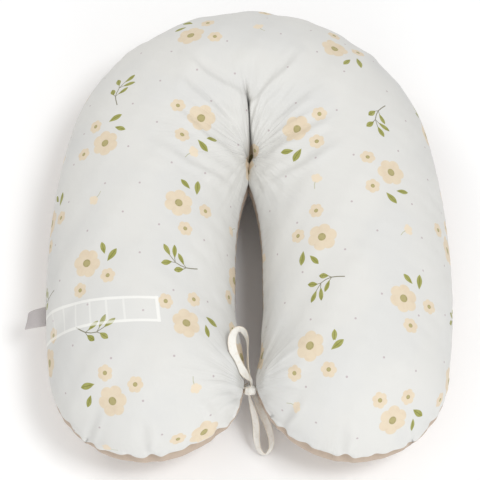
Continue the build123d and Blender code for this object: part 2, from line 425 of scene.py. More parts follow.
def foldPanel(grid, normals, across, upper):
    # creases, gathers and the drawn-in seam on one panel; grid is [row, column, xyz]
    folded = grid.copy()
    plan = grid[..., :2] - [middleX, 0]
    x = plan[..., 0]
    y = plan[..., 1]
    outer = np.sin(across)[None, :]

    # the inner seams of the legs lean on each other close to the arch
    lean = 0.0095 * np.exp(-np.abs((0.062 - y).clip(0) / 0.050) ** 1.2) * (1 - smoothStep(y, 0.082, 0.090))
    lean = lean * np.clip(-outer, 0, 1) ** 1.3 * (np.abs(x) < 0.12)
    closed = np.maximum(np.abs(x) - lean, np.minimum(np.abs(x), 0.0007))
    folded[..., 0] += np.sign(x) * closed - x

    # the legs stand apart beside and above the bow, and the left one comes nearer below it
    inner = np.clip(-outer, 0, 1) ** 1.5 * (np.abs(x) < 0.14)
    beside = np.where(x > 0, legSpread["rightOfBow"], legSpread["leftOfBow"])
    below = np.where(x < 0, legSpread["leftBelowBow"], 0.0)
    apart = legSpread["aboveBow"] * np.exp(-(((y + 0.150) / 0.040) ** 2))
    apart = apart + beside * np.exp(-(((y + 0.203) / 0.027) ** 2))
    apart = apart + below * np.exp(-(((y + 0.300) / 0.036) ** 2))
    folded[..., 0] += np.sign(x) * apart * inner

    # the pinched crease that climbs from the inner seam over the arch
    climb = (y - 0.090).clip(0) / 0.090
    centre = 0.002 - 0.009 * climb**2
    away = x - centre
    reach = smoothStep(y, 0.080, 0.092) * (1 - smoothStep(y, 0.140, 0.186)) * (outer < 0.35)
    groove = np.exp(-np.abs(away / crease["width"]) ** 1.5) * crease["depth"]
    roll = np.where(away < 0, crease["leftRoll"], crease["rightRoll"])
    roll = roll * np.exp(-(((np.abs(away) - 0.018) / 0.011) ** 2))
    strength = reach if upper else reach * 0.6
    folded += normals * ((roll - groove) * strength)[..., None]
    draw = (1 - np.exp(-((away / 0.004) ** 2))) * np.exp(-((away / 0.045) ** 2)) * crease["draw"]
    folded[..., 0] -= np.sign(away) * draw * strength

    if upper:
        # a second short groove where the crease opens, and the long soft folds
        branch = np.array([0.026, 0.165]) - np.array([0.000, 0.146])
        length = np.linalg.norm(branch)
        branch = branch / length
        offset = plan - [0.000, 0.146]
        along = offset @ branch / length
        side = offset @ np.array([-branch[1], branch[0]])
        taper = smoothStep(along, -0.3, 0.05) * (1 - smoothStep(along, 0.3, 1.1))
        folded -= normals * (0.012 * taper * np.exp(-((side / 0.0035) ** 2)))[..., None]
        folded += normals * foldField(plan)[..., None]

    # gathers in the seam round the leg ends, and the cloth swelling beside the seam
    edge = np.minimum(math.pi / 2 - np.abs(across)[None, :], math.pi / 2)
    tipRows = pillow["tipRows"]
    rowCount = len(grid)
    fromTip = np.minimum(np.arange(rowCount), np.arange(rowCount)[::-1])[:, None] / tipRows * math.pi / 2
    toSeam = np.minimum(edge, fromTip) * 0.118
    swell = 0.0030 * np.exp(-(((toSeam - 0.014) / 0.009) ** 2)) - 0.0022 * np.exp(-((toSeam / 0.0045) ** 2))
    zipPart = (np.abs(np.arctan2(x, y - archCentre[1])) < math.radians(51)) & (y > archCentre[1])
    swell = np.where(zipPart & (outer > 0), 0.0, swell)
    folded += normals * swell[..., None]
    for spot, inward, depth in seamGathers():
        offset = plan - spot
        side = offset @ np.array([-inward[1], inward[0]])
        fade = np.exp(-((toSeam / 0.017) ** 2)) * (np.abs(offset @ inward) < 0.05)
        notch = np.exp(-((side / 0.0042) ** 2)) - 0.45 * np.exp(-(((np.abs(side) - 0.011) / 0.007) ** 2))
        folded -= normals * (depth * fade * notch * (1 if upper else 0.6))[..., None]

    # small puckers where the thread draws the seam in
    seamLine = np.linalg.norm(np.diff(grid, axis=0), axis=-1)
    seamLine = np.concatenate([np.zeros((1, grid.shape[1])), np.cumsum(seamLine, axis=0)])
    runs = np.where(outer < 0, seamLine[:, :1], seamLine[:, -1:])
    endLine = np.linalg.norm(np.diff(grid[:1], axis=1), axis=-1)
    endLine = np.concatenate([np.zeros((1, 1)), np.cumsum(endLine, axis=1)], axis=1)
    runs = np.where(fromTip < edge, endLine, runs)
    pucker = np.sin(runs * 390 + 1.7 * np.sin(runs * 37) + (0.0 if upper else 0.9))
    pucker = pucker * (0.55 + 0.45 * np.sin(runs * 23 + 2.0))
    pucker = 0.0011 * pucker * np.exp(-(((toSeam - 0.004) / 0.009) ** 2)) * smoothStep(y, -0.40, -0.34)
    folded += normals * np.where(zipPart & (outer > 0), 0.0, pucker)[..., None]

    # the front seam rides up, so that a little of the lower cloth shows
    front = smoothStep(-y, 0.215, 0.320) * np.exp(-((toSeam / 0.050) ** 2))
    folded[..., 2] += 0.013 * front
    folded[..., 1] += 0.004 * front * np.exp(-((toSeam / 0.02) ** 2))

    # low unevenness of a filling pushed by hand
    wave = np.sin(x * 47 + 1.3) * np.sin(y * 39 + 0.4) + 0.6 * np.sin(x * 83 - y * 61 + 2.0)
    hold = smoothStep(toSeam, 0.01, 0.06)
    folded += normals * (0.0016 * wave * hold)[..., None]
    fine = np.sin(x * 150 + y * 60) * np.sin(y * 170 - x * 40 + 1.0)
    folded += normals * (0.0005 * fine * hold)[..., None]
    folded += normals * (radiate(x, y, (0.0, 0.088), 27, 0.135) * 0.0016)[..., None] * hold[..., None]
    folded += normals * (radiate(x, y, (0.0, -0.252), 21, 0.080) * 0.0018)[..., None] * hold[..., None]
    folded[..., 2] = np.maximum(folded[..., 2], 0.0006)
    return folded, np.stack([runs * np.ones_like(toSeam), toSeam], axis=-1)


def joinSeams(upper, lower):
    # one closed mesh: the lower panel shares the upper panel's outline
    rowCount, columnCount = upper.shape[:2]
    index = np.arange(rowCount * columnCount).reshape(rowCount, columnCount)
    lowerIndex = index.copy()
    inner = np.zeros((rowCount, columnCount), bool)
    inner[1:-1, 1:-1] = True
    lowerIndex[inner] = rowCount * columnCount + np.arange(inner.sum())
    vertices = np.concatenate([upper.reshape(-1, 3), lower[inner]])
    faces = np.concatenate([
        gridFaces(rowCount, columnCount, False),
        lowerIndex.ravel()[gridFaces(rowCount, columnCount, True)],
    ])
    return vertices, faces, index, lowerIndex


cloth = {
    "excess": 0.13,       # spare cloth along the outer seam
    "pressure": 2.5,
    "frames": 18,
    "hold": 0.0,          # how firmly the shape is kept
    "seamHold": 0.30,
    "cap": 0.010,         # furthest any point may move
    "stiffness": 14,
    "bending": 0.08,
}


def simulateCover(upper, lower, spare, seamDistance, fixed):
    vertices, faces, index, lowerIndex = joinSeams(upper, lower)
    body = meshPiece("coverWork", vertices, faces, None)
    body.shape_key_add(name="Basis")
    slack = body.shape_key_add(name="slack")
    slackVertices, unusedFaces, unusedIndex, unusedLower = joinSeams(*spare)
    slack.data.foreach_set("co", slackVertices.astype(np.float32).ravel())
    holdGroup = body.vertex_groups.new(name="hold")
    weights = np.full(len(vertices), cloth["hold"])
    for grid, distance, held in zip((index, lowerIndex), seamDistance, fixed):
        near = np.exp(-((distance / 0.004) ** 2))
        value = cloth["hold"] + (cloth["seamHold"] - cloth["hold"]) * near
        value = np.where(held, 1.0, value)
        weights[grid] = np.maximum(weights[grid], value)
    weights[vertices[:, 2] < 0.004] = 0.9
    levels = np.round(weights, 2)
    for level in np.unique(levels):
        members = np.flatnonzero(levels == level)
        holdGroup.add([int(i) for i in members], float(level), "REPLACE")
    modifier = body.modifiers.new("cloth", "CLOTH")
    settings = modifier.settings
    settings.vertex_group_mass = "hold"
    settings.rest_shape_key = slack
    settings.pin_stiffness = 1.0
    settings.quality = 5
    settings.mass = 0.3
    settings.air_damping = 6
    settings.tension_stiffness = cloth["stiffness"]
    settings.compression_stiffness = cloth["stiffness"]
    settings.shear_stiffness = cloth["stiffness"] * 0.5
    settings.bending_stiffness = cloth["bending"]
    settings.use_pressure = True
    settings.uniform_pressure_force = cloth["pressure"]
    settings.effector_weights.gravity = 0
    modifier.collision_settings.use_collision = False
    modifier.collision_settings.use_self_collision = False
    modifier.point_cache.frame_start = 1
    modifier.point_cache.frame_end = cloth["frames"]
    bpy.context.view_layer.update()
    for frameNumber in range(1, cloth["frames"] + 1):
        bpy.context.scene.frame_set(frameNumber)
    graph = bpy.context.evaluated_depsgraph_get()
    settled = body.evaluated_get(graph).to_mesh()
    moved = np.empty(len(vertices) * 3)
    settled.vertices.foreach_get("co", moved)
    moved = moved.reshape(-1, 3)
    step = moved - vertices
    length = np.linalg.norm(step, axis=1, keepdims=True)
    print("cloth settled, moved at most", round(float(length.max()) * 1000, 1), "mm, usually",
          round(float(np.median(length)) * 1000, 1), "mm")
    cap = cloth["cap"]
    step = step * np.where(length > 1e-9, cap * np.tanh(length / cap) / np.maximum(length, 1e-9), 1)
    result = vertices + step
    result[:, 2] = np.maximum(result[:, 2], 0.0006)
    bpy.context.scene.frame_set(1)
    mesh = body.data
    bpy.data.objects.remove(body)
    bpy.data.meshes.remove(mesh)
    return result[index], result[lowerIndex]


# ---- the print: a staggered repeat that runs down each leg's cloth

motifSizes = {
    "flower": (0.0205, 0.0205),
    "smallFlower": (0.0108, 0.0108),
    "leaf": (0.0108, 0.0048),
    "smallLeaf": (0.0092, 0.0040),
    "sprig": (0.0290, 0.0290),
    "bud": (0.0135, 0.0135),
    "dot": (0.0015, 0.0015),
}
motifKinds = {"flower": 1, "smallFlower": 1, "leaf": 2, "smallLeaf": 2, "sprig": 3, "bud": 4, "dot": 5}
# kind, distance from the group's middle, bearing from its heading, own turn from the heading
groupParts = {
    "cluster": [
        ("flower", 0.0, 0, 0), ("smallFlower", 0.039, 35, 20), ("smallFlower", 0.039, -35, -15),
        ("leaf", 0.040, 84, 125), ("smallLeaf", 0.032, 109, 177),
    ],
    "sprig": [("sprig", 0.0, 0, -40)],
    "bud": [("bud", 0.0, 0, 0)],
}
printRepeat = {
    "along": 0.172,       # from one cluster to the next down the leg
    "across": 0.108,      # from one column of clusters to the next, over the stuffed cloth
    "columns": 4,
    "start": (0.060, 0.100),    # where the first column begins on the left and on the right leg
    "drift": 0.009,       # how far a motif strays from its place
    "turn": 137,          # degrees from one motif's heading to the next
    "room": {"cluster": 0.094, "sprig": 0.066, "bud": 0.050},
    "seed": 11,
}
dotSpacing = 0.047
clothRound = 0.118    # mean radius of the stuffed section


def placeOnLeg(side, run, aside):
    # run goes down the leg's middle line from the arch's top, aside over the cloth towards the outer seam
    archRun = archEnd * pillow["archRadius"]
    legRun = (legEnd - archEnd) * legRadius
    lateral = pillow["halfWidth"] * math.sin(min(max(aside / clothRound, -1.5), 1.5))
    if run < archRun:
        angle = run / pillow["archRadius"]
        point = archPoint + headingAt(angle) * (pillow["archRadius"] + lateral)
    else:
        angle = min(archEnd + (run - archRun) / legRadius, legEnd)
        point = legPoint + headingAt(angle) * (legRadius + lateral)
    beyond = min(max(run - archRun - legRun, 0.0) / clothRound, 1.5)
    ahead = headingAt(angle + math.pi / 2)
    point = point + ahead * pillow["halfWidth"] * math.sin(beyond) * math.cos(aside / clothRound)
    return side * (point[0] - middleX) + middleX, point[1]


def motifGroups():
    # a cluster in each cell of the repeat, then a sprig or a bud between every two clusters
    chance = np.random.default_rng(printRepeat["seed"])
    wholeRun = archEnd * pillow["archRadius"] + (legEnd - archEnd) * legRadius + 0.16
    groups = []
    for between in (False, True):
        for side, start in zip((-1, 1), printRepeat["start"]):
            for column in range(printRepeat["columns"]):
                aside = (column - (printRepeat["columns"] - 1) / 2) * printRepeat["across"]
                first = start + (column % 2 + between) * printRepeat["along"] / 2
                runs = np.arange(first - printRepeat["along"], wholeRun, printRepeat["along"])
                for row, run in enumerate(runs):
                    stray = printRepeat["drift"] * chance.uniform(-1, 1, 2)
                    heading = printRepeat["turn"] * len(groups)
                    if run < 0:
                        continue
                    kind = ("sprig" if (row + column) % 2 else "bud") if between else "cluster"
                    place = placeOnLeg(side, run + stray[0], aside + stray[1])
                    groups.append((kind, np.array(place), heading, -1 if len(groups) % 3 == 0 else 1))
    return groups


def printOnPanel(points, normals, faceCentres):
    # for every face: which motif, and that motif's own frame, from the unwrinkled cloth
    flat = points.reshape(-1, 3)
    flatNormals = normals.reshape(-1, 3)
    best = np.full(len(faceCentres), 9.0)
    kinds = np.zeros(len(faceCentres))
    frames = np.zeros((len(faceCentres), 3, 3))
    spots = []
    reach = 1.45

    def lay(kind, centre, turned, side, normal):
        halfLength, halfWidth = motifSizes[kind]
        sideways = np.cross(normal, turned) * side
        offset = faceCentres - centre
        along = offset @ turned / halfLength
        across = offset @ sideways / halfWidth
        grow = 1 + 0.003 / halfWidth
        distance = np.hypot(along, across) / grow
        lift = np.abs(offset @ normal)
        wins = (distance < best) & (distance < reach) & (lift < halfLength * 0.8 + 0.004)
        best[wins] = distance[wins]
        kinds[wins] = motifKinds[kind]
        frames[wins] = [centre, turned / halfLength, sideways / halfWidth]

    centres = np.zeros((0, 3))
    for group, target, heading, side in motifGroups():
        spot = np.argmin(np.hypot(*(flat[:, :2] - target).T))
        room = printRepeat["room"][group]
        if len(centres) and np.min(np.linalg.norm(centres - flat[spot], axis=1)) < room:
            continue
        centres = np.vstack([centres, flat[spot]])
        normal = flatNormals[spot]
        angle = math.radians(heading)
        ahead = np.array([math.cos(angle), math.sin(angle), 0.0])
        ahead = ahead - normal * (ahead @ normal)
        ahead = ahead / np.linalg.norm(ahead)

        def turnedBy(degrees):
            step = math.radians(degrees)
            return ahead * math.cos(step) + np.cross(normal, ahead) * math.sin(step)

        for kind, distance, bearing, turn in groupParts[group]:
            centre = flat[spot] + turnedBy(bearing * side) * distance
            nearest = np.argmin(np.linalg.norm(flat - centre, axis=1))
            ownNormal = flatNormals[nearest]
            turned = turnedBy(turn * side)
            turned = turned - ownNormal * (turned @ ownNormal)
            turned = turned / np.linalg.norm(turned)
            centre = flat[nearest]
            spots.append(np.append(centre, motifSizes[kind][0]))
            lay(kind, centre, turned, side, ownNormal)

    random = np.random.default_rng(7)
    taken = np.array(spots)
    dots = np.zeros((0, 3))
    for spot in random.permutation(len(flat)):
        point = flat[spot]
        if np.any(np.linalg.norm(taken[:, :3] - point, axis=1) < taken[:, 3] + 0.008):
            continue
        if len(dots) and np.min(np.linalg.norm(dots - point, axis=1)) < dotSpacing:
            continue
        dots = np.vstack([dots, point])
        normal = flatNormals[spot]
        turned = np.cross(normal, [0.3, 0.1, 0.9])
        lay("dot", point, turned / np.linalg.norm(turned), 1, normal)
    print("print laid out:", len(spots), "motifs and", len(dots), "dots")
    return kinds, frames


# ---- the cover


def cornerLayer(piece, name, values):
    layer = piece.data.uv_layers.new(name=name)
    layer.data.foreach_set("uv", np.asarray(values, dtype=np.float32).ravel())


careStrip = {
    "along": 0.2805,      # its middle, from the start of the leg
    "halfWidth": 0.0175,
    "length": 0.212,      # from the outer seam over the top of the leg
    "line": 0.0035,       # its doubled edges
    "firstFold": 0.052,
    "foldStep": 0.023,
    "foldCount": 6,
}
# how strongly each kind of fine crease shows
wrinkles = {"crotch": 0.55, "bow": 0.5, "seam": 0.75, "loose": 0.30}


def clothRelief(signal, place):
    # fine creases: pulled from the inner seam, from the bow and from the sewn edge
    x, y, z = place.split()

    def pulled(centreX, centreY, fineness, reach):
        aside = x - centreX
        ahead = y - centreY
        away = (aside * aside + ahead * ahead).root()
        angle = signal.maths("ARCTAN2", ahead, aside)
        vector = signal.node("ShaderNodeCombineXYZ", {}, {0: angle * fineness, 1: away * 11.0, 2: z * 6.0})
        return (noise(signal, vector, 1.0, 2.0) - 0.5) * (1 - away.rise(reach * 0.2, reach))

    run, toSeam, unused = signal.node("ShaderNodeUVMap", {"uv_map": "seam"}).split()
    along = signal.node("ShaderNodeCombineXYZ", {}, {0: run * 82.0, 1: toSeam * 16.0, 2: 0.0})
    sewn = (noise(signal, along, 1.0, 3.0) - 0.5) * (1 - toSeam.rise(0.006, 0.060))
    slanted = signal.node(
        "ShaderNodeCombineXYZ", {}, {0: x * 26.0 + y * 9.0, 1: y * 7.0 - x * 3.0, 2: z * 9.0}
    )
    loose = noise(signal, slanted, 1.0, 4.0) - 0.5
    relief = pulled(middleX, 0.088, 10.0, 0.19) * wrinkles["crotch"]
    relief = relief + pulled(middleX, -0.250, 8.0, 0.13) * wrinkles["bow"]
    return relief + sewn * wrinkles["seam"] + loose * wrinkles["loose"]


def printedMaterial(name):
    material, signal, surface = startMaterial(
        name, roughness=0.92, Sheen_Weight=0.12, Sheen_Roughness=0.5, Specular_IOR_Level=0.25
    )
    u, v, unused = signal.node("ShaderNodeUVMap", {"uv_map": "motif"}).split()
    kind = signal.node("ShaderNodeAttribute", {"attribute_name": "motifKind"}, output=2)
    place = signal.node("ShaderNodeTexCoord", output=3)

    def isKind(number):
        return signal.maths("COMPARE", kind, float(number), 0.25)

    radius = (u * u + v * v).root()
    bearing = signal.maths("ARCTAN2", v, u)
    mottle = noise(signal, place, 420, 3.0)
    blotch = noise(signal, place, 95, 2.0)

    # flower: six rounded petals, fine creases between them, a khaki eye with darker specks
    lobes = abs(signal.maths("COSINE", bearing * 3.0))
    wander = signal.maths("SINE", bearing * 2.0 + 1.1) * 0.03
    outline = 0.76 + 0.21 * lobes**0.6 + wander
    flower = 1 - (radius / outline).rise(0.965, 1.035)
    eye = 1 - (radius + (mottle - 0.5) * 0.06).rise(0.24, 0.28)
    eyeRing = eye * radius.rise(0.14, 0.22)
    crease = (1 - lobes) ** 6.0 * radius.rise(0.35, 0.6) * 0.35
    petal = plainColour(signal, 223, 208, 184)
    petal = petal.mixTo(colour(216, 198, 173), (blotch.rise(0.4, 0.7) * 0.5 + crease).smaller(1.0))
    petal = petal.mixTo(colour(176, 166, 118), eye)
    petal = petal.mixTo(colour(146, 138, 92), eyeRing * mottle.rise(0.42, 0.6) * 0.8)

    # a pointed leaf lying along u
    def leafShape(along, side, fullness):
        near = along.larger(-1.2).smaller(1.2)
        edge = (1 - near * near) * (1 + 0.3 * near) * fullness
        return (edge - abs(side)).rise(-0.02, 0.10), abs(side)

    def greenOf(veinDistance, along):
        green = plainColour(signal, 152, 153, 84)
        green = green.mixTo(colour(172, 172, 108), blotch.rise(0.42, 0.62) * 0.6)
        vein = (1 - veinDistance.rise(0.03, 0.16)) * (1 - abs(along).rise(0.55, 0.85))
        return green.mixTo(colour(112, 112, 56), vein * 0.75)

    leafMask, leafSide = leafShape(u, v, 0.92)
    leafColour = greenOf(leafSide, u)

    # a sprig in its own square: stem first, then five leaves from base to tip
    def unitLeaf(baseX, baseY, tipX, tipY, width):
        centreX = (baseX + tipX) / 2
        centreY = (baseY + tipY) / 2
        half = math.hypot(tipX - baseX, tipY - baseY) / 2
        directionX = (tipX - baseX) / 2 / half
        directionY = (tipY - baseY) / 2 / half
        along = (u * directionX + v * directionY - (centreX * directionX + centreY * directionY)) / half
        side = (v * directionX - u * directionY - (centreY * directionX - centreX * directionY)) / width
        return leafShape(along, side, 1.0)

    def unitStem(startX, startY, endX, endY, thickness):
        length = math.hypot(endX - startX, endY - startY)
        directionX = (endX - startX) / length
        directionY = (endY - startY) / length
        along = u * directionX + v * directionY - (startX * directionX + startY * directionY)
        side = abs(v * directionX - u * directionY - (startY * directionX - startX * directionY))
        over = (along - length).larger(0 - along).larger(0.0)
        return 1 - (side * side + over * over).root().rise(thickness * 0.7, thickness * 1.3)

    sprigLeaves = [
        (-0.61, -0.05, -0.44, 0.42, 0.135), (-0.46, -0.18, 0.18, -0.25, 0.105),
        (-0.06, 0.27, 0.13, 0.77, 0.135), (0.02, 0.06, 0.61, -0.30, 0.110),
        (0.22, 0.19, 0.88, 0.14, 0.120),
    ]
    sprigStems = [
        (-0.85, -0.74, -0.72, -0.44, 0.024), (-0.72, -0.44, -0.60, -0.21, 0.024),
        (-0.60, -0.21, -0.40, 0.00, 0.021), (-0.40, 0.00, -0.16, 0.15, 0.021),
        (-0.16, 0.15, 0.24, 0.19, 0.018), (-0.16, 0.15, 0.05, 0.06, 0.016),
        (-0.16, 0.15, -0.06, 0.30, 0.016), (-0.60, -0.21, -0.60, 0.00, 0.016),
        (-0.60, -0.21, -0.42, -0.19, 0.016),
    ]
    sprigLeaf = None
    sprigVein = None
    for values in sprigLeaves:
        mask, side = unitLeaf(*values)
        sprigLeaf = mask if sprigLeaf is None else sprigLeaf.larger(mask)
        sprigVein = side if sprigVein is None else sprigVein.smaller(side)
    sprigStem = None
    for values in sprigStems:
        mask = unitStem(*values)
        sprigStem = mask if sprigStem is None else sprigStem.larger(mask)

    # a bud: joined petals in a cup on a thin curved stem, standing along +u
    def disc(centreU, centreV, size):
        across = u - centreU
        upward = v - centreV
        return (across * across + upward * upward).root() - size

    bud = disc(0.20, 0.33, 0.25).smaller(disc(0.36, 0.02, 0.27)).smaller(disc(0.20, -0.33, 0.25))
    bud = bud.smaller(disc(-0.02, 0.12, 0.27)).smaller(disc(-0.02, -0.12, 0.27))
    bud = 1 - bud.rise(-0.03, 0.05)
    budStem = unitStem(-0.20, 0.0, -0.58, -0.06, 0.040).larger(
        unitStem(-0.58, -0.06, -0.95, -0.24, 0.036)
    )
    dot = 1 - radius.rise(0.8, 1.15)

    threads = noise(signal, place, 1500, 2.0)
    clothColour = plainColour(signal, 219, 218, 214)
    patches = noise(signal, place, 9, 3.0).rise(0.4, 0.65) * 0.6
    clothColour = clothColour.mixTo(colour(213, 213, 211), patches)
    result = clothColour.mixTo(petal, flower * isKind(1))
    result = result.mixTo(leafColour, leafMask * isKind(2))
    result = result.mixTo(colour(118, 114, 88), sprigStem * isKind(3) * 0.9)
    result = result.mixTo(greenOf(sprigVein, u * 0.0), sprigLeaf * isKind(3))
    result = result.mixTo(colour(178, 178, 142), budStem * isKind(4) * 0.85)
    result = result.mixTo(colour(229, 213, 188), bud * isKind(4) * 0.9)
    result = result.mixTo(colour(186, 172, 174), dot * isKind(5) * 0.85)
    # the care label inside shows through as paler lines where its edges and folds lie double
    along, aside, unusedCare = signal.node("ShaderNodeUVMap", {"uv_map": "care"}).split()
    halfStrip = careStrip["halfWidth"]
    lineHalf = careStrip["line"] / 2
    inStrip = (1 - abs(aside).rise(halfStrip, halfStrip + 0.001)) * (
        1 - along.rise(careStrip["length"], careStrip["length"] + 0.001)
    )
    lines = 1 - abs(abs(aside) - (halfStrip - lineHalf)).rise(lineHalf * 0.7, lineHalf * 1.3)
    for number in range(careStrip["foldCount"]):
        foldPlace = careStrip["firstFold"] + number * careStrip["foldStep"]
        lines = lines.larger((1 - abs(along - foldPlace).rise(0.0008, 0.0020)) * 0.55)
    lines = lines.larger(1 - abs(along - careStrip["length"] + lineHalf).rise(lineHalf, lineHalf * 1.5))
    showing = (lines * 0.75 + 0.16) * inStrip
    result = result.mixTo(colour(250, 249, 244), showing * 0.62)
    paint(signal, surface, result)
    weaveX, weaveY, weaveZ = place.split()
    weave = signal.maths("SINE", (weaveX + weaveZ * 0.6) * 9000.0) * signal.maths(
        "SINE", (weaveY + weaveZ * 0.6) * 9000.0
    )
    fine = weave * 0.004 + threads * 0.006 + noise(signal, place, 60, 3.0) * 0.07
    bumpFrom(signal, surface, fine + clothRelief(signal, place), 0.0042, 1.0)
    return material


printedCotton = printedMaterial("printedCotton")


def plainCotton():
    material, signal, surface = startMaterial("taupeCotton", roughness=0.93, Sheen_Weight=0.1)
    place = signal.node("ShaderNodeTexCoord", output=3)
    base = plainColour(signal, 190, 172, 155)
    tone = noise(signal, place, 14, 3.0).rise(0.35, 0.65) * 0.5
    paint(signal, surface, base.mixTo(colour(182, 164, 147), tone))
    x, y, unused = place.split()
    weave = signal.maths("SINE", x * 9000.0) * signal.maths("SINE", y * 9000.0)
    fine = weave * 0.004 + noise(signal, place, 70, 3.0) * 0.07
    bumpFrom(signal, surface, fine + clothRelief(signal, place), 0.0042, 1.0)
    return material


taupeCotton = plainCotton()


def slackShape(grid):
    # the same panel cut a little longer round its outer seam and its ends
    rowTips = np.array([row[2] for row in rows])[:, None]
    centreLine = np.array([row[0] for row in rows])[:, None, :]
    share = np.maximum(np.clip(np.sin(across), 0, 1)[None, :] * smoothStep(np.pi / 2 - rowTips, 0, 0.3),
                       np.sin(rowTips) * np.ones((1, len(across))))
    scale = 1 + cloth["excess"] * share
    slack = grid.copy()
    slack[..., :2] = centreLine + (grid[..., :2] - centreLine) * scale[..., None]
    return slack


def shapeCover():
    upperFolded, upperRuns = foldPanel(upperBase, upperNormal, across, True)
    lowerFolded, lowerRuns = foldPanel(lowerBase, lowerNormal, across, False)
    lowerFolded[0] = upperFolded[0]
    lowerFolded[-1] = upperFolded[-1]
    lowerFolded[:, 0] = upperFolded[:, 0]
    lowerFolded[:, -1] = upperFolded[:, -1]
    zipRows = np.array([abs(row[1]) < math.radians(50) and row[2] == 0 for row in rows])[:, None]
    zipHeld = zipRows & (across > math.radians(76))[None, :]
    knotHeld = np.hypot(upperBase[..., 0] - middleX, upperBase[..., 1] + 0.247) < 0.03
    fixed = (zipHeld | knotHeld, zipHeld | knotHeld)
    upperSettled, lowerSettled = simulateCover(
        upperFolded, lowerFolded, (slackShape(upperBase), slackShape(lowerBase)),
        (upperRuns[..., 1], lowerRuns[..., 1]), fixed,
    )
    return upperSettled, lowerSettled, upperRuns, lowerRuns


zipper = {
    "halfGap": 0.0055,       # from the middle of the zip to the cover's edge
    "halfAngle": math.radians(46.4),
    "toothRadius": 0.2637,
    "toothPitch": 0.00155,
    "toothLength": 0.00125,
    "toothDepth": 0.0021,
    "toothHeight": 0.0018,
    "stitchPitch": 0.0030,
    "stitchLength": 0.0021,
}


def drawBackAtZip(grid):
    # the cloth edge stops short of the zip, measured along the cloth
    drawn = grid.copy()
    for number, row in enumerate(rows):
        if row[2] > 0:
            continue
        share = 1 - smoothStep(abs(row[1]), math.radians(46), math.radians(48.5))
        if share <= 0:
            continue
        steps = np.linalg.norm(np.diff(grid[number], axis=0), axis=1)
        travelled = np.concatenate([[0], np.cumsum(steps)])
        total = travelled[-1]
        wanted = travelled - zipper["halfGap"] * share * smoothStep(travelled, total - 0.03, total)
        for axis in range(3):
            drawn[number, :, axis] = np.interp(wanted, travelled, grid[number, :, axis])
    return drawn


def careCoordinates(points):
    # along the care label from the outer seam, and aside from its middle, on the left leg
    plan = points[:, :2] - [middleX, 0]
    mirroredPlan = np.stack([-plan[:, 0], plan[:, 1]], axis=1)
    centre = legPoint - [middleX, 0]
    offset = mirroredPlan - centre
    lateral = np.linalg.norm(offset, axis=1) - legRadius
    angle = np.arctan2(offset[:, 0], offset[:, 1])
    aside = (angle - archEnd) * legRadius - careStrip["along"] + lateral * 0.12 - 0.006
    turn = np.arcsin(np.clip(lateral / pillow["halfWidth"], -1, 1))
    sample = np.linspace(-math.pi / 2, math.pi / 2, 361)
    steps = np.hypot(np.diff(np.sin(sample)) * pillow["halfWidth"],
                     np.diff(np.cos(sample)) * pillow["halfHeight"])
    run = np.concatenate([[0], np.cumsum(steps)])
    along = run[-1] - np.interp(turn, sample, run)
    away = (plan[:, 0] > 0) | (points[:, 2] < seamZ - 0.001)
    return np.stack([np.where(away, 9.0, along), np.where(away, 9.0, aside)], axis=1)


def makeCover():
    rowCount, columnCount = upperBase.shape[:2]
    faces = gridFaces(rowCount, columnCount, False)
    flat = upperBase.reshape(-1, 3)
    centres = flat[faces].mean(axis=1)
    upper = meshPiece(
        "coverUpperPanel", drawBackAtZip(upperShape).reshape(-1, 3), faces, printedCotton
    )
    kinds, frames = printOnPanel(upperBase, upperNormal, centres)
    corners = flat[faces] - frames[:, 0][:, None, :]
    u = np.einsum("fcx,fx->fc", corners, frames[:, 1])
    v = np.einsum("fcx,fx->fc", corners, frames[:, 2])
    cornerLayer(upper, "motif", np.stack([u, v], axis=-1))
    cornerLayer(upper, "care", careCoordinates(flat)[faces])
    cornerLayer(upper, "seam", upperRuns.reshape(-1, 2)[faces])
    attribute = upper.data.attributes.new("motifKind", "FLOAT", "FACE")
    attribute.data.foreach_set("value", kinds.astype(np.float32))
    lowerPiece = meshPiece(
        "coverLowerPanel", drawBackAtZip(lowerShape).reshape(-1, 3),
        gridFaces(rowCount, columnCount, True), taupeCotton
    )
    cornerLayer(lowerPiece, "seam", lowerRuns.reshape(-1, 2)[gridFaces(rowCount, columnCount, True)])
    return upper, lowerPiece


upperShape, lowerShape, upperRuns, lowerRuns = shapeCover()
coverUpper, coverLower = makeCover()
for piece in (coverUpper, coverLower):
    solid = piece.modifiers.new("thickness", "SOLIDIFY")
    solid.thickness = pillow["clothThickness"]
    solid.offset = -1
    smoothOnce(piece).uv_smooth = "NONE"
    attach(piece, "root")
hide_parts("cover_upper_panel")
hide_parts("cover_lower_panel")
print("cover made")

# ---- what is inside: the filled inner cushion and the care label


def spread(grid, rowsAway, columnsAway, pick):
    # the lowest (or the mean) of each point's neighbours
    padded = np.pad(grid, ((rowsAway, rowsAway), (0, 0)), mode="edge")
    parts = [padded[i:i + grid.shape[0]] for i in range(2 * rowsAway + 1)]
    grid = pick(np.array(parts), axis=0)
    padded = np.pad(grid, ((0, 0), (columnsAway, columnsAway)), mode="edge")
    parts = [padded[:, i:i + grid.shape[1]] for i in range(2 * columnsAway + 1)]
    return pick(np.array(parts), axis=0)


def shellInside(base, normals, shape, depth):
    height = ((shape - base) * normals).sum(axis=-1)
    height = spread(np.minimum(height, 0), 12, 4, np.min)
    height = spread(height, 6, 2, np.mean)
    return base + normals * (height - depth)[..., None]


def thinned(count):
    return np.unique(np.append(np.arange(0, count, 2), count - 1))


insert = {"depth": 0.0062, "fillingDepth": 0.0078, "cloth": 0.0006}


